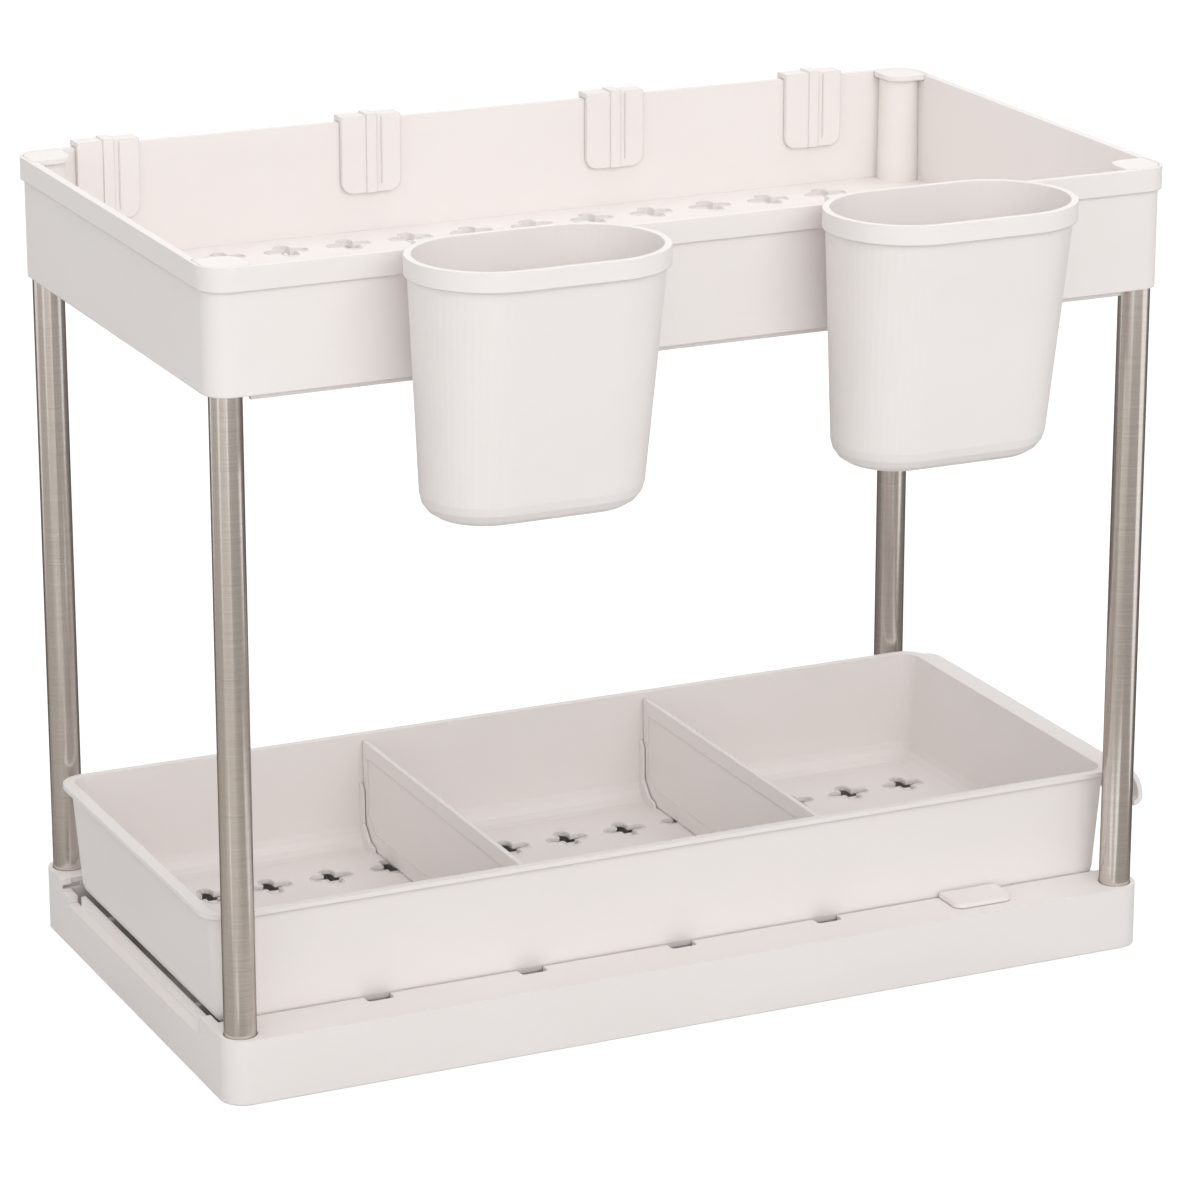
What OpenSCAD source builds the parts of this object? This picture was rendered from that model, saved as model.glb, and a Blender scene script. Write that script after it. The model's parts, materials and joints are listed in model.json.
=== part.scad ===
/* [Frame] */
// Length of the base along X
frame_l = 400; // [340:1:480]
// Depth of the base along Y
frame_w = 216; // [190:1:260]
// Height of the upper tray's rim above the floor
tray_top_z = 326; // [290:1:400]
// Radius of the base's and tray's outer corners
corner_r = 9.5; // [8:0.5:14]

/* [Tubes] */
// Outer diameter of the four steel tubes
tube_d = 12.7; // [10:0.1:14]
// Wall of a steel tube
tube_wall = 0.8; // [0.5:0.1:1.5]
// Tube axis in from the base's end
tube_inset_x = 8.5; // [8.2:0.1:14]
// Tube axis in from the base's long side
tube_inset_y = 9.1; // [8.8:0.1:14]
// Radial play of a tube in its socket and sleeve
tube_play = 0.2; // [0.05:0.05:0.4]

/* [Base] */
// Height of the base's long ledges
base_h = 26; // [24:0.5:34]
// Wall of the base moulding
base_wall = 2.5; // [2:0.1:3.5]
// Width of a long ledge
ledge_w = 22.7; // [21:0.1:26]
// Height of the low sills at the two ends
sill_h = 18; // [12:0.5:19]
// Thickness of an end sill
sill_t = 4.7; // [3.5:0.1:5]
// Thickness of the ridge that stops the drawer
ridge_t = 2; // [1.2:0.1:2.4]
// Height of the stop ridge above the sill
ridge_rise = 3.8; // [2:0.1:5]
// Length of a corner block from the base's long side
block_w = 31; // [26:0.5:36]
// Width of the rails that carry the drawer
rail_w = 3; // [2:0.5:5]
// Distance of a rail from the middle
rail_y = 50; // [30:1:70]
// Middle of the outermost notch in from the base's end
notch_in = 70; // [64:1:90]
// Width of a ledge notch
notch_w = 11; // [10:0.5:14]
// Depth of a notch into the ledge
notch_d = 5; // [4:0.5:6]
// Height of a notch
notch_h = 10; // [9:0.5:12]

/* [Tray] */
// Depth of the upper tray, floor to rim
tray_depth = 46; // [36:1:60]
// Thickness of the tray's floor
tray_floor = 2.5; // [2:0.1:4]
// Wall of the tray
tray_wall = 2; // [1.6:0.1:2.4]
// Tray wall in from the base's long side
tray_set_in = 1; // [0.6:0.1:2]
// Height of the rim band
rim_h = 9; // [6:0.5:12]
// How far the rim band stands proud of the wall
rim_proud = 1.5; // [0.8:0.1:2]
// Outer radius of a tube sleeve at its foot
sleeve_r = 8.8; // [8:0.1:9.5]
// Height of the stiffening rib under the tray
under_rib_h = 2.5; // [1.5:0.5:5]
// Stiffening rib in from the tray wall
under_rib_in = 4; // [3:0.5:8]
// Drain holes in one row of the tray
tray_hole_cols = 12; // [8:1:12]
// Half the pitch of the tray's drain holes along X
tray_hole_half_x = 13.6; // [12.5:0.1:14.5]
// Half the pitch of the tray's drain holes along Y
tray_hole_half_y = 17; // [16:0.5:17.5]
// Side of a corner cap
cap_size = 17.3; // [16.5:0.1:18.5]
// Thickness of a corner cap
cap_t = 2; // [1.5:0.1:3]
// Depth of a cap's plug in its tube
cap_plug = 10; // [6:1:16]

/* [Drain holes] */
// Length of a plus hole along X
plus_l = 17; // [14:0.5:18]
// Length of a plus hole along Y
plus_w = 16; // [13:0.5:17]
// Width of a plus hole's arms
plus_arm = 4.8; // [4:0.2:6]

/* [Drawer] */
// Height of the drawer's rim above the floor
drawer_top_z = 69.5; // [60:0.5:90]
// Height of the drawer's underside above the floor
drawer_z = 20; // [19.6:0.1:21]
// Thickness of the drawer's floor and walls
drawer_wall = 1.8; // [1.5:0.1:2.4]
// Thickness of the drawer's rim flange
flange_t = 2; // [1.5:0.1:3]
// Rim flange beyond the long walls
flange_out = 1.9; // [1:0.1:3]
// Play between a long wall and the ledge at the drawer's foot
drawer_play = 1.1; // [0.6:0.1:2]
// Lean of a long wall from foot to rim
drawer_lean_y = 1.2; // [0.5:0.1:2]
// Lean of an end wall from foot to rim
drawer_lean_x = 3.8; // [2:0.1:5]
// Radius inside the drawer's upright corners
drawer_corner_r = 9; // [8.5:0.5:14]
// Radius along the drawer's inner bottom edge
drawer_fillet = 8; // [5:0.5:8.5]
// Outer radius of the curled pull
pull_r = 16; // [12:0.5:18]
// Radius of the pull's turned-in edge
pull_edge_r = 4; // [3:0.5:5]
// Length of the pull along Y
pull_l = 160; // [80:1:164]
// Drain holes in one row of the drawer
drawer_hole_cols = 14; // [8:1:14]
// Half the pitch of the drawer's drain holes along X
drawer_hole_half_x = 13.4; // [12:0.1:13.5]
// Half the pitch of the drawer's drain holes along Y
drawer_hole_half_y = 17.1; // [15:0.1:18]

/* [Dividers] */
// Distance of a divider from the middle
divider_x = 65; // [50:1:80]
// Thickness of a divider's border
divider_t = 2.2; // [1.8:0.1:3]
// Divider's top below the drawer's rim
divider_drop = 2.5; // [1:0.5:6]
// Height of the divider's upper border
divider_border = 6.5; // [4:0.5:9]
// Depth of the panel's recess on each face
divider_recess = 0.5; // [0.2:0.1:0.7]
// Play around a divider
divider_play = 0.4; // [0.3:0.1:0.8]
// Thickness of a guide rib
guide_t = 1.5; // [1:0.1:2]
// Height of a guide rib's top above the drawer's floor
guide_h = 27; // [18:1:34]
// How far a guide rib stands out of the wall
guide_out = 2.4; // [1.8:0.1:3]

/* [Cups] */
// Distance of a cup's middle from the tray's middle
cup_x = 85; // [60:1:110]
// Half the straight stretch of a cup's outline
cup_half = 19; // [12:1:24]
// Outer radius of a cup's rim ends
cup_rim_r = 31.5; // [26:0.5:36]
// Outer radius of a cup's ends at the foot
cup_foot_r = 24.75; // [20:0.25:25.5]
// Height of a cup
cup_h = 100; // [70:1:130]
// Cup's rim above the tray's rim
cup_over = 4; // [3:0.5:6]
// Height of a cup's rim band
cup_band_h = 7.3; // [5:0.1:9]
// How far a cup's rim band stands proud
cup_band_proud = 1; // [0.6:0.1:1.5]
// Wall of a cup
cup_wall = 1.8; // [1.4:0.1:2.4]
// Radius of a cup's bottom edge
cup_edge_r = 9; // [5:0.5:10]
// Width of a cup's hanging tab
tab_w = 68; // [30:1:74]
// Length of the tab inside the tray
tab_drop = 12; // [8:1:18]

/* [Hooks] */
// Middle of the first hook in from the tray's left end
hook_1_in = 36.6; // [36:0.1:60]
// Middle of the second hook from the tray's middle, to the left
hook_2_left = 50.3; // [20:0.1:70]
// Middle of the third hook from the tray's middle, to the right
hook_3_right = 59.6; // [20:0.1:70]
// Middle of the fourth hook in from the tray's right end
hook_4_in = 47.5; // [36:0.1:60]
// Width of a hook
hook_w = 26; // [16:1:30]
// Thickness of a hook
hook_t = 2; // [1.6:0.1:2.4]
// Length of a hook's plate inside the tray
hook_in = 29; // [15:1:34]
// Length of a hook's leg behind the tray, without its curl
hook_out = 56; // [30:1:70]
// Outer radius of a hook's curl
hook_curl_r = 9; // [7:0.5:12]
// Length of the upright tip of a hook
hook_tip = 10; // [4:1:16]
// Width of a hook's raised rib
hook_rib_w = 4.5; // [3:0.5:6]
// Height of a hook's raised rib
hook_rib_t = 0.7; // [0.4:0.1:1]
// Radius of a hook plate's lower corners
hook_corner_r = 5; // [2:0.5:6]

/* [Stop clip] */
// Width of the clip's tab
clip_w = 26; // [18:1:32]
// Length of the clip's tab across the ledge
clip_l = 15.6; // [12:0.1:18]
// Thickness of the clip
clip_t = 2; // [1.5:0.1:3]
// Length of the clip's leg below the ledge's top
clip_leg = 8; // [5:0.5:8.5]

/* [Fits] */
// Gap between pieces that rest or hang on each other
seat_gap = 0.3; // [0.2:0.05:0.4]

/* [Hidden] */
$fn = 48;
plastic = [0.93, 0.91, 0.90];
steel = [0.68, 0.66, 0.63];

// A hair of overlap where one shape is joined to another or cuts through it
eps = 0.05;
// Sides of the curves inside a hull
hull_fn = 32;

// Tubes
tube_x = frame_l / 2 - tube_inset_x;
tube_y = frame_w / 2 - tube_inset_y;
tube_r = tube_d / 2;
tube_z0 = base_wall + 0.5;
sleeve_z1 = tray_top_z - cap_t - seat_gap;
tube_z1 = sleeve_z1 - 2;

// Base
ledge_y = frame_w / 2 - ledge_w;
sill_x = frame_l / 2 - sill_t;
block_y = frame_w / 2 - block_w;
rail_top = drawer_z - seat_gap;
notch_pitch = (frame_l / 2 - notch_in) / 2;

// Tray
tray_l = frame_l;
tray_w = frame_w - 2 * tray_set_in;
tray_floor_z = tray_top_z - tray_depth;
tray_in_x = tray_l / 2 - tray_wall;
tray_in_y = tray_w / 2 - tray_wall;
rim_y = tray_w / 2 + rim_proud;
cap_x = tray_l / 2 - cap_size / 2 - 0.2;
cap_y = tray_w / 2 - cap_size / 2 - 1.2;

// Drawer: the foot is fitted between the ledges and the stop ridge
drawer_foot_y = ledge_y - drawer_play;
drawer_head_y = drawer_foot_y + drawer_lean_y;
drawer_foot_x = sill_x - ridge_t - seat_gap - 0.4;
drawer_head_x = drawer_foot_x + drawer_lean_x;
drawer_rim_x = drawer_head_x + 3.3;
drawer_rim_y = drawer_head_y + flange_out;
drawer_h = drawer_top_z - drawer_z;
drawer_floor_z = drawer_z + drawer_wall;

// Cups
cup_back_y = -rim_y - seat_gap;
cup_top_z = tray_top_z + cup_over;
cup_body_r = cup_rim_r - cup_band_proud;

// A flat rounded rectangle centred on the origin
module plan(l, w, r) {
    union() {
        square([l - 2 * r, w], center = true);
        square([l, w - 2 * r], center = true);
        for (sx = [-1, 1]) {
            for (sy = [-1, 1]) {
                translate([sx * (l / 2 - r), sy * (w / 2 - r)]) circle(r);
            }
        }
    }
}

// A block centred in X and Y that stands at height z
module block(l, w, z, h) {
    translate([-l / 2, -w / 2, z]) cube([l, w, h]);
}

// An outline with two round ends, centred on the origin
module stadium(half, r) {
    union() {
        square([2 * half, 2 * r], center = true);
        for (s = [-1, 1]) {
            translate([s * half, 0]) circle(r);
        }
    }
}

// One plus-shaped drain hole with round arm ends
module plus() {
    stadium((plus_l - plus_arm) / 2, plus_arm / 2);
    rotate(90) stadium((plus_w - plus_arm) / 2, plus_arm / 2);
}

// Rows of plus holes at odd multiples of the half pitch, in front of and behind the middle
module plus_rows(cols, half_x, half_y, rows) {
    for (i = [0 : cols - 1]) {
        for (j = [0 : rows - 1]) {
            translate([(2 * i + 1 - cols) * half_x, (2 * j + 1 - rows) * half_y]) plus();
        }
    }
}

// Base moulding: floor, outer wall, two long ledges with notches, end sills and tube sockets
module base_frame() {
    color(plastic)
    difference() {
        union() {
            base_shell();
            for (s = [-1, 1]) {
                translate([0, s * rail_y, 0]) block(2 * sill_x + 2 * eps, rail_w, 0, rail_top);
            }
            // Ridge on the left sill, between the corner blocks
            translate([-sill_x, -block_y + 2, base_wall - eps])
                cube([ridge_t, 2 * block_y - 6, sill_h + ridge_rise - base_wall + eps]);
        }
        base_cuts();
    }
}

// Outer wall, floor, ledges and corner blocks of the base, before its cuts
module base_shell() {
    linear_extrude(base_wall) plan(frame_l, frame_w, corner_r);
    linear_extrude(base_h)
        difference() {
            plan(frame_l, frame_w, corner_r);
            plan(frame_l - 2 * sill_t, frame_w - 2 * base_wall, corner_r - base_wall);
        }
    for (s = [-1, 1]) {
        translate([0, s * (ledge_y + base_wall / 2), 0]) block(2 * sill_x + 2 * eps, base_wall, 0, base_h);
        translate([0, s * (ledge_y + ledge_w / 2 - base_wall / 2), base_h - base_wall])
            block(2 * sill_x + 2 * eps, ledge_w - base_wall, 0, base_wall);
        for (t = [-1, 1]) {
            intersection() {
                translate([s * tube_x, t * tube_y, 0]) cylinder(h = base_h, r = tube_r + 4.5);
                linear_extrude(base_h) plan(frame_l, frame_w, corner_r);
            }
        }
    }
}

// Sockets, lowered ends, notches and the hollows under the ledges
module base_cuts() {
    for (s = [-1, 1]) {
        for (t = [-1, 1]) {
            translate([s * tube_x, t * tube_y, tube_z0]) cylinder(h = base_h, r = tube_r + tube_play);
        }
        // The end walls drop to the sill: between the corner blocks on the left,
        // and between the ledges on the right, where the drawer comes out
        translate([s * (frame_l / 2 - sill_t / 2 + 0.5), 0, 0])
            block(sill_t + 1 + 2 * eps, 2 * (s < 0 ? block_y : ledge_y), sill_h, base_h);
        // The ledges are open from below between the sockets
        translate([0, s * (ledge_y + ledge_w / 2), -1])
            block(2 * (tube_x - tube_r - 4.5), ledge_w - 2 * base_wall, 0, 1 + base_wall + eps);
        for (i = [-2 : 2]) {
            translate([i * notch_pitch, s * ledge_y, base_h - notch_h])
                linear_extrude(notch_h + 1) plan(notch_w, 2 * notch_d, 1.5);
        }
    }
    // Slot under the back ledge's left end
    translate([-frame_l / 2 + 0.8, ledge_y - 8, sill_h + ridge_rise]) cube([8, 10, base_h - base_wall - sill_h - ridge_rise]);
    translate([-frame_l / 2 - 1, block_y - eps, sill_h + 3]) cube([sill_t + 1 + eps, ledge_y - block_y - 1, base_h]);
}

// Upper tray: floor with drain holes, walls with a rim band and four tube sleeves
module upper_tray() {
    color(plastic)
    difference() {
        union() {
            translate([0, 0, tray_floor_z - tray_floor])
                linear_extrude(tray_floor)
                    difference() {
                        plan(tray_l - 2 * eps, tray_w - 2 * eps, corner_r);
                        plus_rows(tray_hole_cols, tray_hole_half_x, tray_hole_half_y, 6);
                    }
            tray_walls();
            for (s = [-1, 1]) {
                for (t = [-1, 1]) {
                    intersection() {
                        translate([s * tube_x, t * tube_y, tray_floor_z - eps])
                            cylinder(h = sleeve_z1 - tray_floor_z, r1 = sleeve_r, r2 = sleeve_r - 0.5);
                        translate([0, 0, tray_floor_z - 1])
                            linear_extrude(tray_depth) plan(tray_l, tray_w, corner_r);
                    }
                }
            }
        }
        for (s = [-1, 1]) {
            for (t = [-1, 1]) {
                translate([s * tube_x, t * tube_y, tray_floor_z - tray_floor - 1])
                    cylinder(h = tray_depth + tray_floor + 2, r = tube_r + tube_play);
                translate([s * cap_x, t * cap_y, sleeve_z1])
                    rotate(s * t > 0 ? 0 : 90)
                        linear_extrude(cap_t + 1) cap_plan(cap_size + 0.3);
            }
        }
    }
}

// Walls, rim band and the stiffening rib under the floor
module tray_walls() {
    translate([0, 0, tray_floor_z - tray_floor])
        linear_extrude(tray_depth + tray_floor)
            difference() {
                plan(tray_l, tray_w, corner_r);
                plan(2 * tray_in_x, 2 * tray_in_y, corner_r - tray_wall);
            }
    translate([0, 0, tray_top_z - rim_h])
        linear_extrude(rim_h)
            difference() {
                plan(tray_l + 2 * rim_proud, tray_w + 2 * rim_proud, corner_r + rim_proud);
                plan(2 * tray_in_x, 2 * tray_in_y, corner_r - tray_wall);
            }
    for (s = [-1, 1]) {
        translate([0, s * (tray_w / 2 - under_rib_in - 1), tray_floor_z - tray_floor - under_rib_h])
            block(2 * (tube_x - tube_r - 2), 2, 0, under_rib_h + eps);
        translate([s * (tray_l / 2 - under_rib_in - 1), 0, tray_floor_z - tray_floor - under_rib_h])
            block(2, 2 * (tube_y - tube_r - 2), 0, under_rib_h + eps);
    }
}

// Leaf outline of a corner cap: two opposite corners are round, two are tight
module cap_plan(size) {
    union() {
        plan(size, size, size * 0.42);
        for (s = [-1, 1]) {
            translate([s * size / 4, -s * size / 4]) plan(size / 2, size / 2, 2);
        }
    }
}

// One corner cap with its plug in the tube's end
module cap(s, t) {
    color(plastic) {
        translate([s * cap_x, t * cap_y, tray_top_z - cap_t])
            rotate(s * t > 0 ? 0 : 90)
                linear_extrude(cap_t) cap_plan(cap_size);
        translate([s * tube_x, t * tube_y, tray_top_z - cap_t - 2 - cap_plug])
            cylinder(h = cap_plug + 2 + eps, r = tube_r - tube_wall - 0.1);
    }
}

// One steel tube
module tube(s, t) {
    color(steel)
    translate([s * tube_x, t * tube_y, tube_z0])
        difference() {
            cylinder(h = tube_z1 - tube_z0, r = tube_r);
            translate([0, 0, -1]) cylinder(h = tube_z1 - tube_z0 + 2, r = tube_r - tube_wall);
        }
}

// Tapered body with a rounded foot, set in by a wall on all sides
module drawer_body(inset, z0, z1, edge) {
    foot_x = drawer_foot_x - inset;
    foot_y = drawer_foot_y - inset;
    r = drawer_corner_r - inset;
    hull() {
        for (a = [0 : 22.5 : 90]) {
            drop = edge * (1 - sin(a));
            rise = edge * (1 - cos(a));
            grow = rise / drawer_h;
            translate([0, 0, z0 + rise])
                linear_extrude(0.01)
                    plan(2 * (foot_x - drop + grow * drawer_lean_x), 2 * (foot_y - drop + grow * drawer_lean_y),
                         max(r - drop / 2, 1), $fn = hull_fn);
        }
        translate([0, 0, z1 - 0.01])
            linear_extrude(0.01)
                plan(2 * (foot_x + drawer_lean_x), 2 * (foot_y + drawer_lean_y), r, $fn = hull_fn);
    }
}

// Sliding drawer with a rim flange, guide ribs for the dividers and a curled pull
module drawer() {
    color(plastic)
    difference() {
        union() {
            difference() {
                union() {
                    drawer_body(0, drawer_z, drawer_top_z, drawer_fillet - drawer_wall);
                    translate([0, 0, drawer_top_z - flange_t])
                        linear_extrude(flange_t) plan(2 * drawer_rim_x, 2 * drawer_rim_y, drawer_corner_r + 2);
                }
                drawer_body(drawer_wall, drawer_floor_z, drawer_top_z + 0.5, drawer_fillet);
            }
            for (s = [-1, 1]) {
                for (t = [-1, 1]) {
                    for (side = [-1, 1]) {
                        guide_rib(s * divider_x + side * (divider_t / 2 + divider_play + guide_t / 2), t);
                    }
                }
            }
            pull();
        }
        translate([0, 0, drawer_z - 1])
            linear_extrude(drawer_wall + 2)
                plus_rows(drawer_hole_cols, drawer_hole_half_x, drawer_hole_half_y, 4);
    }
}

// A rib on a long wall that runs down round the bottom edge and onto the floor
module guide_rib(x, t) {
    wall_y = drawer_foot_y - drawer_wall + 0.4;
    translate([x - guide_t / 2, 0, drawer_floor_z])
        mirror([0, t > 0 ? 0 : 1, 0])
            rotate([90, 0, 90])
                linear_extrude(guide_t)
                    polygon([
                        [wall_y - drawer_fillet - guide_out - 4, -0.5],
                        [wall_y - drawer_fillet - guide_out - 3, guide_out],
                        [wall_y - drawer_fillet - 1, guide_out + 0.6],
                        [wall_y - guide_out - 0.4, drawer_fillet + 1.5],
                        [wall_y - guide_out, guide_h - 3],
                        [wall_y, guide_h],
                        [wall_y + 0.2, drawer_fillet],
                        [wall_y - drawer_fillet * 0.29, drawer_fillet * 0.29 - 0.5],
                        [wall_y - drawer_fillet, -0.5]
                    ]);
}

// A quarter of a flat ring, from +X to +Y
module quarter_ring(r, t) {
    intersection() {
        difference() {
            circle(r);
            circle(r - t);
        }
        square([r + 1, r + 1]);
    }
}

// Curled pull at the right end: a wide quarter turn, then a tight one
module pull() {
    pull_x = drawer_rim_x - 0.5;
    translate([pull_x, pull_l / 2, drawer_top_z - pull_r])
        rotate([90, 0, 0])
            linear_extrude(pull_l) {
                quarter_ring(pull_r, flange_t);
                translate([pull_r - pull_edge_r, 0]) mirror([0, 1]) quarter_ring(pull_edge_r, flange_t);
                translate([-1, pull_r - flange_t]) square([1.02, flange_t]);
            }
}

// One loose divider: a border with a thinner panel, narrowed for the drawer's bottom edge
module divider(s) {
    foot = divider_play + 0.1;
    top = drawer_top_z - divider_drop - drawer_floor_z;
    half_foot = drawer_foot_y - drawer_wall - divider_play;
    half_top = half_foot + drawer_lean_y * top / drawer_h;
    side_border = 4;
    foot_border = 7;
    cut = drawer_fillet * 0.8;
    color(plastic)
    translate([s * divider_x, 0, drawer_floor_z])
        rotate([90, 0, 90])
            difference() {
                translate([0, 0, -divider_t / 2])
                    linear_extrude(divider_t)
                        polygon([
                            [-half_foot + cut, foot], [half_foot - cut, foot],
                            [half_foot - 0.2, foot + cut], [half_top, top],
                            [-half_top, top], [-half_foot + 0.2, foot + cut]
                        ]);
                for (side = [-1, 1]) {
                    translate([0, 0, side * divider_t / 2 - divider_recess])
                        linear_extrude(2 * divider_recess)
                            polygon([
                                [-half_foot + cut + side_border, foot + foot_border],
                                [half_foot - cut - side_border, foot + foot_border],
                                [half_foot - side_border, foot + cut + foot_border],
                                [half_foot - side_border, top - divider_border],
                                [-half_foot + side_border, top - divider_border],
                                [-half_foot + side_border, foot + cut + foot_border]
                            ]);
                }
            }
}

// Tapered cup body with a rounded foot and an upright back, set in by a wall
module cup_body(inset, z0, z1, edge) {
    foot_r = cup_foot_r - cup_band_proud - inset;
    head_r = cup_body_r - inset;
    back_y = cup_back_y - cup_band_proud - inset;
    hull() {
        for (a = [0 : 22.5 : 90]) {
            drop = edge * (1 - sin(a));
            rise = edge * (1 - cos(a));
            r = foot_r + (head_r - foot_r) * rise / (z1 - z0);
            translate([0, back_y - r, z0 + rise])
                linear_extrude(0.01) stadium(cup_half, r - drop, $fn = 64);
        }
        translate([0, back_y - head_r, z1 - 0.01])
            linear_extrude(0.01) stadium(cup_half, head_r, $fn = 64);
    }
}

// One cup that hangs on the tray's front rim by a tab
module cup(s) {
    z0 = cup_top_z - cup_h;
    tab_y = -tray_in_y + seat_gap;
    color(plastic)
    translate([s * cup_x, 0, 0])
        difference() {
            union() {
                cup_body(0, z0, cup_top_z, cup_edge_r);
                translate([0, cup_back_y - cup_rim_r, cup_top_z - cup_band_h])
                    linear_extrude(cup_band_h) stadium(cup_half, cup_rim_r, $fn = 64);
                // Strip over the rim, then a leg down the inside of the tray's wall
                translate([-tab_w / 2, cup_back_y - 1, tray_top_z + seat_gap])
                    cube([tab_w, tab_y + cup_wall - cup_back_y + 1, cup_wall]);
                translate([-tab_w / 2, tab_y, tray_top_z - tab_drop])
                    cube([tab_w, cup_wall, tab_drop + seat_gap + eps]);
            }
            cup_body(cup_wall, z0 + cup_wall, cup_top_z + 0.5, cup_edge_r - cup_wall);
        }
}

// One hook over the tray's back rim, with its curl behind the tray
module hook(x) {
    in_y = tray_in_y - seat_gap;
    out_y = rim_y + seat_gap;
    top_z = tray_top_z + seat_gap;
    curl_z = tray_top_z - hook_out;
    color(plastic)
    translate([x, 0, 0])
        union() {
            // Plate inside the tray, with round lower corners
            translate([0, in_y, top_z - hook_in - 1])
                rotate([90, 0, 0])
                    linear_extrude(hook_t)
                        union() {
                            translate([0, hook_in / 2 + 5]) square([hook_w, hook_in - 8], center = true);
                            translate([0, hook_in / 2]) plan(hook_w, hook_in, hook_corner_r);
                        }
            // Bend over the rim
            translate([-hook_w / 2, in_y - hook_t, top_z - eps])
                cube([hook_w, out_y - in_y + 2 * hook_t, hook_t + eps]);
            // Leg and curl behind the tray
            translate([-hook_w / 2, out_y, curl_z]) cube([hook_w, hook_t, top_z - curl_z]);
            translate([0, out_y + hook_curl_r, curl_z]) hook_curl();
            // Raised rib down the middle of the plate and over the bend
            translate([-hook_rib_w / 2, in_y - hook_t - hook_rib_t, top_z - hook_in - 1])
                cube([hook_rib_w, hook_rib_t + eps, hook_in + 1 + hook_t]);
            translate([-hook_rib_w / 2, in_y - hook_t - hook_rib_t, top_z + hook_t - eps])
                cube([hook_rib_w, out_y - in_y + 2 * hook_t + hook_rib_t, hook_rib_t + eps]);
        }
}

// Half-round curl with an upright tip
module hook_curl() {
    difference() {
        rotate([0, 90, 0]) cylinder(h = hook_w, r = hook_curl_r, center = true);
        rotate([0, 90, 0]) cylinder(h = hook_w + 2, r = hook_curl_r - hook_t, center = true);
        translate([-hook_w / 2 - 1, -hook_curl_r - 1, 0]) cube([hook_w + 2, 2 * hook_curl_r + 2, hook_curl_r + 1]);
    }
    translate([-hook_w / 2, hook_curl_r - hook_t, -eps]) cube([hook_w, hook_t, hook_tip + eps]);
}

// Stop clip that lies on the front ledge with a leg in its last notch
module stop_clip() {
    clip_y = -ledge_y - 0.2;
    leg_w = notch_w - 2;
    leg_d = notch_d - 1.6;
    color(plastic)
    translate([2 * notch_pitch, clip_y, base_h + seat_gap]) {
        linear_extrude(clip_t)
            union() {
                translate([0, -clip_l / 2]) plan(clip_w, clip_l, 4);
                translate([-clip_w / 2, -clip_l / 2]) square([clip_w, clip_l / 2]);
            }
        translate([-leg_w / 2, -leg_d - 0.3, -clip_leg])
            cube([leg_w, leg_d, clip_leg + eps]);
    }
}

base_frame();
upper_tray();
drawer();
divider(-1);  // divider_left
divider(1);  // divider_right
tube(-1, -1);  // tube_front_left
tube(1, -1);  // tube_front_right
tube(-1, 1);  // tube_back_left
tube(1, 1);  // tube_back_right
cap(-1, -1);  // cap_front_left
cap(1, -1);  // cap_front_right
cap(-1, 1);  // cap_back_left
cap(1, 1);  // cap_back_right
cup(-1);  // cup_left
cup(1);  // cup_right
hook(hook_1_in - frame_l / 2);  // hook_1
hook(-hook_2_left);  // hook_2
hook(hook_3_right);  // hook_3
hook(frame_l / 2 - hook_4_in);  // hook_4
stop_clip();
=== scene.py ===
import json
import math

import bpy
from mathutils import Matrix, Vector


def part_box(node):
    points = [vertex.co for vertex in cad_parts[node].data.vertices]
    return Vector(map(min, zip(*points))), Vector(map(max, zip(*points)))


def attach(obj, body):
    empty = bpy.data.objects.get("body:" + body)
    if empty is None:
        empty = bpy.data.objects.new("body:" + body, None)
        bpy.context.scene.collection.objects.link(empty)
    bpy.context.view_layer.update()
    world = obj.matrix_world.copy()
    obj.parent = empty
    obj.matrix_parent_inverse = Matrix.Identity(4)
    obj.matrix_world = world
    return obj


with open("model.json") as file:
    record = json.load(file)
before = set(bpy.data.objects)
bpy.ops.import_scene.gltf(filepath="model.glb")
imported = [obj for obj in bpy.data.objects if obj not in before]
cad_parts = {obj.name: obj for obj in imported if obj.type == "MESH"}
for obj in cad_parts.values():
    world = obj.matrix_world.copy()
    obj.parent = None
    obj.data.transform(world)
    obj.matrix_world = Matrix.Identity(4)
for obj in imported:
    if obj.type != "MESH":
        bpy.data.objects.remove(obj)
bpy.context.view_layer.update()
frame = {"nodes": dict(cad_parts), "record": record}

# Lengths are in metres and angles in degrees
MM = 0.001

# Camera, with its lens and sensor in millimetres
CAMERA_PLACE = (-0.800, -1.730, 0.752)
CAMERA_YAW = -24.95
CAMERA_PITCH = 17.69
CAMERA_LENS = 148.3
CAMERA_SENSOR = 36
CAMERA_NEAR = 0.05
CAMERA_FAR = 100

# Lamps: name, place, width, height and watts. All look at one point
LAMP_TARGET = (0, 0, 0.16)
LAMPS = (
    ("key", (-0.1, -2.1, 1.4), 1.9, 1.4, 20),
    ("fill", (-1.9, -1.0, 0.9), 1.4, 1.2, 4),
    ("top", (0.1, 0.2, 2.2), 1.8, 1.4, 11),
)

# World: its strength as light, and its strength where it is seen
WORLD_TINT = (1, 0.99, 0.98, 1)
WORLD_LIT = 0.70
WORLD_SEEN = 1.0

# Floor, with the glow that is added where it is seen
FLOOR_COLOUR = (0.64, 0.64, 0.64, 1)
FLOOR_LIFT = 0.54
FLOOR_HALF = 30.0
FLOOR_Z = -0.2 * MM
WHITE = (1, 1, 1, 1)

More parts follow.
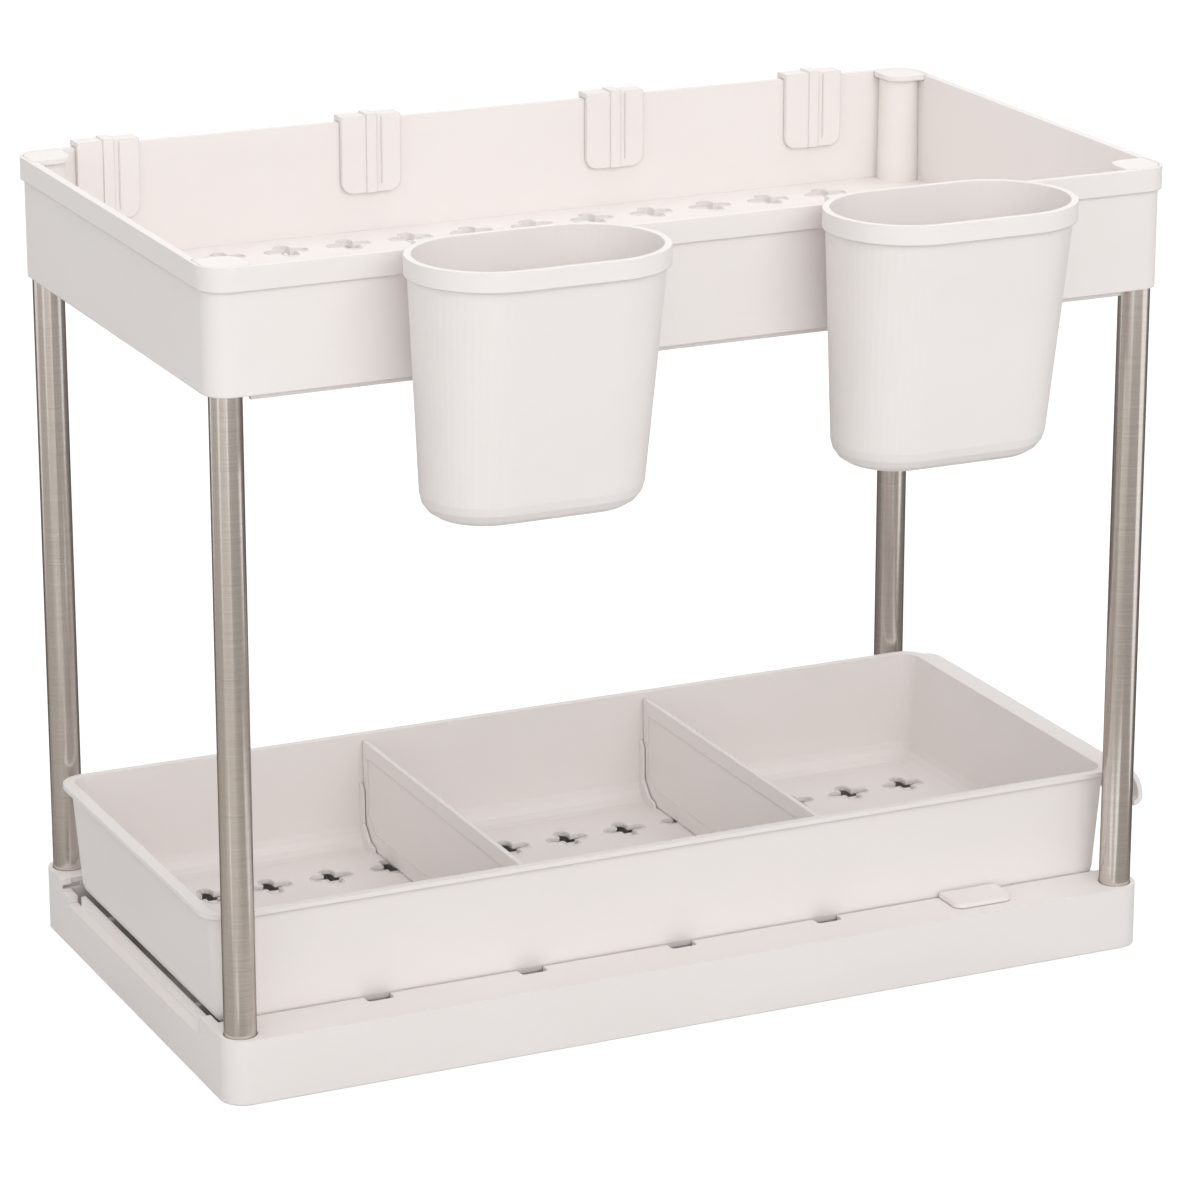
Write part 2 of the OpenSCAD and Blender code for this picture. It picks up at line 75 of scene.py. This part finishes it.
# Painted reflections: glowing grey cards on the floor, seen only in the tubes, which paint dark and
# light reflection bands into the steel: name, first and last bearing, brightness
PAINTED_REFLECTION_CARDS = (
    ("painted_reflection_left", 158, 190, 0.52),
    ("painted_reflection_near", -146, -128, 0.72),
    ("painted_reflection_front", -98, -58, 0.46),
    ("painted_reflection_back", -6, 122, 0.26),
)
TUBES = ("tube_front_left", "tube_front_right", "tube_back_left", "tube_back_right")
CARD_REACH = 1.4
CARD_STEPS = 8
CARD_Z = 0.1 * MM
CARD_GREEN = 0.94
CARD_BLUE = 0.88

# Plastic. Colours are linear, noise scales are per metre
PLASTIC_LIGHT = (0.855, 0.818, 0.803, 1)
PLASTIC_DEEP = (0.835, 0.794, 0.778, 1)
PLASTIC_ROUGHNESS = (0.40, 0.52)
PLASTIC_SPECULAR = 0.42
PLASTIC_SUBSURFACE = 0.06
PLASTIC_SUBSURFACE_RADIUS = (0.004, 0.003, 0.002)
PLASTIC_SUBSURFACE_SCALE = 0.4
FLOW_SCALE = 9
FLOW_DETAIL = 4
FLOW_STRETCH = (1, 1, 2.2)
GRAIN_SCALE = 2600
GRAIN_DETAIL = 2
GRAIN_STRENGTH = 0.10
GRAIN_DEPTH = 0.06 * MM
PATCH_SCALE = 60
PATCH_DETAIL = 3
EDGE_ROUND = 0.7 * MM
EDGE_SAMPLES = 6

# Steel, with the tint of its reflections near the tube's outline
STEEL_LIGHT = (0.70, 0.655, 0.615, 1)
STEEL_DARK = (0.52, 0.48, 0.445, 1)
STEEL_EDGE_TINT = (0.42, 0.39, 0.36, 1)
STEEL_ROUGHNESS = (0.16, 0.26)
SCRATCH_SCALE = 40
SCRATCH_DETAIL = 5
SCRATCH_STRETCH = (1, 1, 160)
SCRATCH_RAMP = (0.15, 0.65)
SCRATCH_STRENGTH = 0.08
SCRATCH_DEPTH = 0.03 * MM
STREAK_SCALE = 420
STREAK_DETAIL = 2
STREAK_STRETCH = (1, 1, 0.02)

# Beads round the plus-shaped drain holes, measured outward from a hole's edge
HOLE_LENGTH = 17 * MM
HOLE_WIDTH = 16 * MM
HOLE_ARM = 4.8 * MM
ARM_END_STEPS = 6
BEAD_INNER = 0.25 * MM
BEAD_CREST = 0.75 * MM
BEAD_OUTER = 1.25 * MM
BEAD_HEIGHT = 0.45 * MM
# Body, name, floor's height, columns, rows, half pitches along X and Y
HOLE_ROWS = (
    ("stand", "tray_hole_beads", 280 * MM, 12, 6, 13.6 * MM, 17 * MM),
    ("drawer_body", "drawer_hole_beads", 21.8 * MM, 14, 4, 13.4 * MM, 17.1 * MM),
)

# Fine line beside the rib on each hook's inner face, between two drops from the hook's top
HOOKS = ("hook_1", "hook_2", "hook_3", "hook_4")
HOOK_RIB = 0.7 * MM
LINE_WIDTH = 0.5 * MM
LINE_PROUD = 0.3 * MM
LINE_BESIDE = 4.2 * MM
LINE_TOP_DROP = 1.4 * MM
LINE_FOOT_DROP = 29 * MM

# How far beads and lines reach into the surface that they sit on
SINK = 0.05 * MM


class Nodes:
    """Short calls for building one material's or world's node tree."""

    def __init__(self, owner):
        owner.use_nodes = True
        self.tree = owner.node_tree
        self.tree.nodes.clear()

    def add(self, kind, **values):
        """Adds a node. An underscore in a value's name stands for a space in a socket's name."""
        node = self.tree.nodes.new(kind)
        for name, value in values.items():
            socket = name.replace("_", " ")
            if socket in node.inputs:
                node.inputs[socket].default_value = value
            else:
                setattr(node, name, value)
        return node

    def link(self, source, target):
        self.tree.links.new(source, target)

    def finish(self, surface, kind="ShaderNodeOutputMaterial"):
        """Links the last shader to the output."""
        self.link(surface, self.add(kind).inputs["Surface"])


def noise(nodes, coords, scale, detail, stretch=(1, 1, 1)):
    """A noise texture on object coordinates, stretched along the axes."""
    mapping = nodes.add("ShaderNodeMapping", Scale=stretch)
    texture = nodes.add("ShaderNodeTexNoise", Scale=scale, Detail=detail)
    nodes.link(coords.outputs["Object"], mapping.inputs["Vector"])
    nodes.link(mapping.outputs["Vector"], texture.inputs["Vector"])
    return texture.outputs["Fac"]


def ramp(nodes, source, low, high, start=0.3, end=0.7):
    """Turns a 0 to 1 value into a blend of two colours."""
    made = nodes.add("ShaderNodeValToRGB")
    first, last = made.color_ramp.elements
    first.color = low
    first.position = start
    last.color = high
    last.position = end
    nodes.link(source, made.inputs["Fac"])
    return made.outputs["Color"]


def between(nodes, source, low, high):
    """Maps a 0 to 1 value to the range from low to high."""
    made = nodes.add("ShaderNodeMapRange", To_Min=low, To_Max=high)
    nodes.link(source, made.inputs["Value"])
    return made.outputs["Result"]


def plastic_material():
    """Matte moulded plastic: a fine spark-eroded grain, faint flow marks and softly rounded edges."""
    material = bpy.data.materials.new("warm_white_plastic")
    nodes = Nodes(material)
    coords = nodes.add("ShaderNodeTexCoord")
    shader = nodes.add(
        "ShaderNodeBsdfPrincipled",
        Specular_IOR_Level=PLASTIC_SPECULAR,
        Subsurface_Weight=PLASTIC_SUBSURFACE,
        Subsurface_Radius=PLASTIC_SUBSURFACE_RADIUS,
        Subsurface_Scale=PLASTIC_SUBSURFACE_SCALE,
    )
    flow = noise(nodes, coords, FLOW_SCALE, FLOW_DETAIL, FLOW_STRETCH)
    grain = noise(nodes, coords, GRAIN_SCALE, GRAIN_DETAIL)
    patches = noise(nodes, coords, PATCH_SCALE, PATCH_DETAIL)
    nodes.link(ramp(nodes, flow, PLASTIC_DEEP, PLASTIC_LIGHT), shader.inputs["Base Color"])
    nodes.link(between(nodes, patches, *PLASTIC_ROUGHNESS), shader.inputs["Roughness"])
    rounding = nodes.add("ShaderNodeBevel", samples=EDGE_SAMPLES, Radius=EDGE_ROUND)
    bump = nodes.add("ShaderNodeBump", Strength=GRAIN_STRENGTH, Distance=GRAIN_DEPTH)
    nodes.link(grain, bump.inputs["Height"])
    nodes.link(rounding.outputs["Normal"], bump.inputs["Normal"])
    nodes.link(bump.outputs["Normal"], shader.inputs["Normal"])
    nodes.finish(shader.outputs["BSDF"])
    return material


def steel_material():
    """Brushed stainless tube: fine scratches round the tube and faint streaks along it."""
    material = bpy.data.materials.new("brushed_stainless")
    nodes = Nodes(material)
    coords = nodes.add("ShaderNodeTexCoord")
    shader = nodes.add("ShaderNodeBsdfPrincipled", Metallic=1.0, Specular_Tint=STEEL_EDGE_TINT)
    scratches = noise(nodes, coords, SCRATCH_SCALE, SCRATCH_DETAIL, SCRATCH_STRETCH)
    streaks = noise(nodes, coords, STREAK_SCALE, STREAK_DETAIL, STREAK_STRETCH)
    colour = ramp(nodes, scratches, STEEL_DARK, STEEL_LIGHT, *SCRATCH_RAMP)
    nodes.link(colour, shader.inputs["Base Color"])
    nodes.link(between(nodes, streaks, *STEEL_ROUGHNESS), shader.inputs["Roughness"])
    bump = nodes.add("ShaderNodeBump", Strength=SCRATCH_STRENGTH, Distance=SCRATCH_DEPTH)
    nodes.link(scratches, bump.inputs["Height"])
    nodes.link(bump.outputs["Normal"], shader.inputs["Normal"])
    nodes.finish(shader.outputs["BSDF"])
    return material


def dress_cad_nodes(finishes):
    """Puts the two finishes on the CAD nodes' own slots."""
    slots = {part["node"]: part["material_slot"] for part in frame["record"]["subparts"]}
    for name, obj in frame["nodes"].items():
        obj.data.materials.clear()
        obj.data.materials.append(finishes[slots[name]])


def add_mesh(name, points, faces, material):
    """A new object in the scene from points, faces and one material."""
    mesh = bpy.data.meshes.new(name)
    mesh.from_pydata(points, [], faces)
    mesh.materials.append(material)
    obj = bpy.data.objects.new(name, mesh)
    bpy.context.scene.collection.objects.link(obj)
    return obj


def plus_outline(offset):
    """The closed outline of one plus-shaped hole, moved outward by an offset."""
    centre_r = HOLE_ARM / 2
    r = centre_r + offset
    points = []
    for turn, length in ((0, HOLE_LENGTH), (90, HOLE_WIDTH), (180, HOLE_LENGTH), (270, HOLE_WIDTH)):
        cos_turn = math.cos(math.radians(turn))
        sin_turn = math.sin(math.radians(turn))
        reach = length / 2 - centre_r
        arm = []
        for step in range(ARM_END_STEPS + 1):
            angle = math.pi * (step / ARM_END_STEPS - 0.5)
            arm.append((reach + r * math.cos(angle), r * math.sin(angle)))
        arm.append((r, r))
        points += [(x * cos_turn - y * sin_turn, x * sin_turn + y * cos_turn) for x, y in arm]
    return points


def hole_beads(body, name, floor_z, cols, rows, half_x, half_y, material):
    """Raised beads round every drain hole of one floor, as one mesh that moves with its body."""
    rings = (
        (plus_outline(BEAD_INNER), floor_z - SINK),
        (plus_outline(BEAD_CREST), floor_z + BEAD_HEIGHT),
        (plus_outline(BEAD_OUTER), floor_z - SINK),
    )
    count = len(rings[0][0])
    points = []
    faces = []
    for i in range(cols):
        for j in range(rows):
            x = (2 * i + 1 - cols) * half_x
            y = (2 * j + 1 - rows) * half_y
            first = len(points)
            for outline, z in rings:
                points += [(x + px, y + py, z) for px, py in outline]
            for ring in range(len(rings)):
                here = first + ring * count
                there = first + (ring + 1) % len(rings) * count
                for k in range(count):
                    n = (k + 1) % count
                    faces.append((here + n, here + k, there + k, there + n))
    obj = add_mesh(name, points, faces, material)
    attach(obj, body)


def hook_line(hook, material):
    """The fine moulded line beside the rib on a hook's inner face."""
    low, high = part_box(hook)
    x = (low[0] + high[0]) / 2 + LINE_BESIDE
    face = low[1] + HOOK_RIB
    x_ends = (x, x + LINE_WIDTH)
    y_ends = (face - LINE_PROUD, face + SINK)
    z_ends = (high[2] - LINE_FOOT_DROP, high[2] - LINE_TOP_DROP)
    points = [(a, b, c) for a in x_ends for b in y_ends for c in z_ends]
    faces = [(0, 1, 3, 2), (4, 6, 7, 5), (0, 4, 5, 1), (2, 3, 7, 6), (0, 2, 6, 4), (1, 5, 7, 3)]
    obj = add_mesh(hook + "_line", points, faces, material)
    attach(obj, hook + "_body")


def seen_factor(nodes):
    """1 for camera, glossy and transmission rays, 0 for the rays that light the object."""
    path = nodes.add("ShaderNodeLightPath")
    total = path.outputs["Is Camera Ray"]
    for name in ("Is Glossy Ray", "Is Transmission Ray"):
        larger = nodes.add("ShaderNodeMath", operation="MAXIMUM")
        nodes.link(total, larger.inputs[0])
        nodes.link(path.outputs[name], larger.inputs[1])
        total = larger.outputs[0]
    return total


def make_world():
    """Soft even light, which is seen as white."""
    world = bpy.data.worlds.new("studio")
    bpy.context.scene.world = world
    nodes = Nodes(world)
    lit = nodes.add("ShaderNodeBackground", Color=WORLD_TINT, Strength=WORLD_LIT)
    seen = nodes.add("ShaderNodeBackground", Color=WHITE, Strength=WORLD_SEEN)
    mix = nodes.add("ShaderNodeMixShader")
    nodes.link(seen_factor(nodes), mix.inputs["Fac"])
    nodes.link(lit.outputs[0], mix.inputs[1])
    nodes.link(seen.outputs[0], mix.inputs[2])
    nodes.finish(mix.outputs[0], "ShaderNodeOutputWorld")


def make_floor():
    """Plain pale floor that glows where it is seen, so that it looks nearly white."""
    material = bpy.data.materials.new("floor_white")
    nodes = Nodes(material)
    diffuse = nodes.add("ShaderNodeBsdfDiffuse", Color=FLOOR_COLOUR)
    glow = nodes.add("ShaderNodeEmission", Color=WHITE)
    lift = nodes.add("ShaderNodeMath", operation="MULTIPLY")
    lift.inputs[1].default_value = FLOOR_LIFT
    nodes.link(seen_factor(nodes), lift.inputs[0])
    nodes.link(lift.outputs[0], glow.inputs["Strength"])
    both = nodes.add("ShaderNodeAddShader")
    nodes.link(diffuse.outputs[0], both.inputs[0])
    nodes.link(glow.outputs[0], both.inputs[1])
    nodes.finish(both.outputs[0])
    corners = ((-1, -1), (1, -1), (1, 1), (-1, 1))
    points = [(x * FLOOR_HALF, y * FLOOR_HALF, FLOOR_Z) for x, y in corners]
    floor = add_mesh("floor", points, [(0, 1, 2, 3)], material)


def painted_reflection_material(name, shade):
    """An even warm grey glow, used as a painted reflection in the steel tubes."""
    material = bpy.data.materials.new(name)
    nodes = Nodes(material)
    glow = nodes.add("ShaderNodeEmission", Color=(shade, shade * CARD_GREEN, shade * CARD_BLUE, 1))
    nodes.finish(glow.outputs[0])
    return material


def painted_reflection_card(name, first_bearing, last_bearing, shade):
    """A glowing grey card that fans out on the floor from each tube's foot, seen only in reflections:
    it paints a reflection band into the tubes.
    """
    points = []
    faces = []
    for tube in TUBES:
        low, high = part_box(tube)
        x = (low[0] + high[0]) / 2
        y = (low[1] + high[1]) / 2
        foot = len(points)
        points.append((x, y, CARD_Z))
        for step in range(CARD_STEPS + 1):
            turn = math.radians(first_bearing + (last_bearing - first_bearing) * step / CARD_STEPS)
            points.append((x + CARD_REACH * math.cos(turn), y + CARD_REACH * math.sin(turn), CARD_Z))
        faces += [(foot, foot + step + 1, foot + step + 2) for step in range(CARD_STEPS)]
    card = add_mesh(name, points, faces, painted_reflection_material(name, shade))
    card.visible_camera = False
    card.visible_diffuse = False
    card.visible_shadow = False
    card.visible_transmission = False


def area_light(name, place, width, height, watts):
    """A soft rectangular lamp that looks at the object."""
    data = bpy.data.lights.new(name, "AREA")
    data.shape = "RECTANGLE"
    data.size = width
    data.size_y = height
    data.energy = watts
    lamp = bpy.data.objects.new(name, data)
    lamp.location = place
    lamp.rotation_euler = (Vector(LAMP_TARGET) - Vector(place)).to_track_quat("-Z", "Y").to_euler()
    bpy.context.scene.collection.objects.link(lamp)


def make_camera():
    """The photograph's viewing angle, through a long lens."""
    data = bpy.data.cameras.new("camera")
    data.sensor_width = CAMERA_SENSOR
    data.lens = CAMERA_LENS
    data.clip_start = CAMERA_NEAR
    data.clip_end = CAMERA_FAR
    camera = bpy.data.objects.new("camera", data)
    camera.location = CAMERA_PLACE
    camera.rotation_euler = (math.radians(90 - CAMERA_PITCH), 0, math.radians(CAMERA_YAW))
    bpy.context.scene.collection.objects.link(camera)
    bpy.context.scene.camera = camera


make_camera()
make_world()
make_floor()
for lamp_row in LAMPS:
    area_light(*lamp_row)
# Glowing cards that paint dark and light reflection bands into the steel tubes
for painted_reflection_row in PAINTED_REFLECTION_CARDS:
    painted_reflection_card(*painted_reflection_row)
finishes = {"plastic": plastic_material(), "steel": steel_material()}
dress_cad_nodes(finishes)
for hole_row in HOLE_ROWS:
    hole_beads(*hole_row, finishes["plastic"])
for hook in HOOKS:
    hook_line(hook, finishes["plastic"])

bpy.context.scene.view_settings.view_transform = "Standard"
